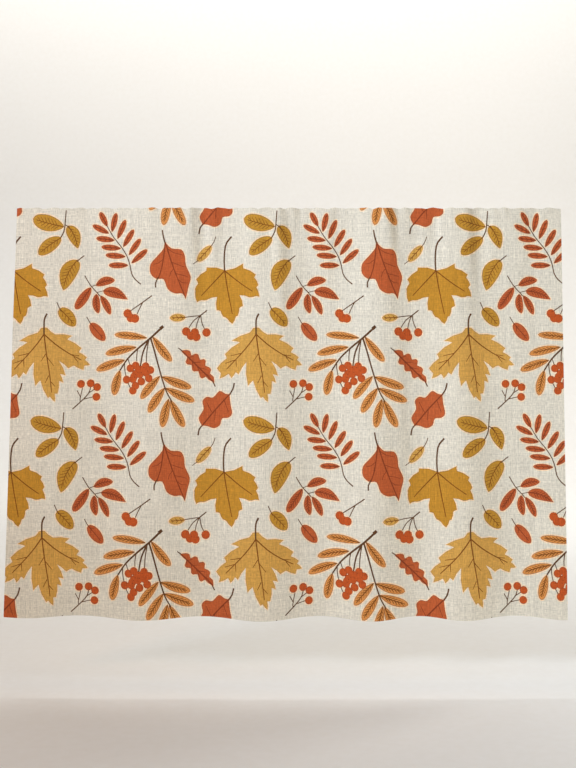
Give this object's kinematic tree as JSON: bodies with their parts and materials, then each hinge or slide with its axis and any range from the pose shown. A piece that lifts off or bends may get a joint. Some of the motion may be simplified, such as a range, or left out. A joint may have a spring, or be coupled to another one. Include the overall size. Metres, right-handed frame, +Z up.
{
  "type": "sink skirt",
  "caption": "Flat cloth panel printed with autumn leaves, hung in soft folds by its top edge to cover the open front under a sink or worktop.",
  "frame": {"origin": "middle of the top edge, halfway through the cloth", "axes": "+X across the width, the printed face looks along -Y, +Z up, so the cloth hangs towards -Z"},
  "size_m": [1.0421, 0.019, 0.7607],
  "materials": {
    "cloth": "matt linen-look cloth, cream with a print of gold, rust and orange leaves"
  },
  "bodies": {
    "root": {"panel": "cloth"}
  },
  "joints": []
}
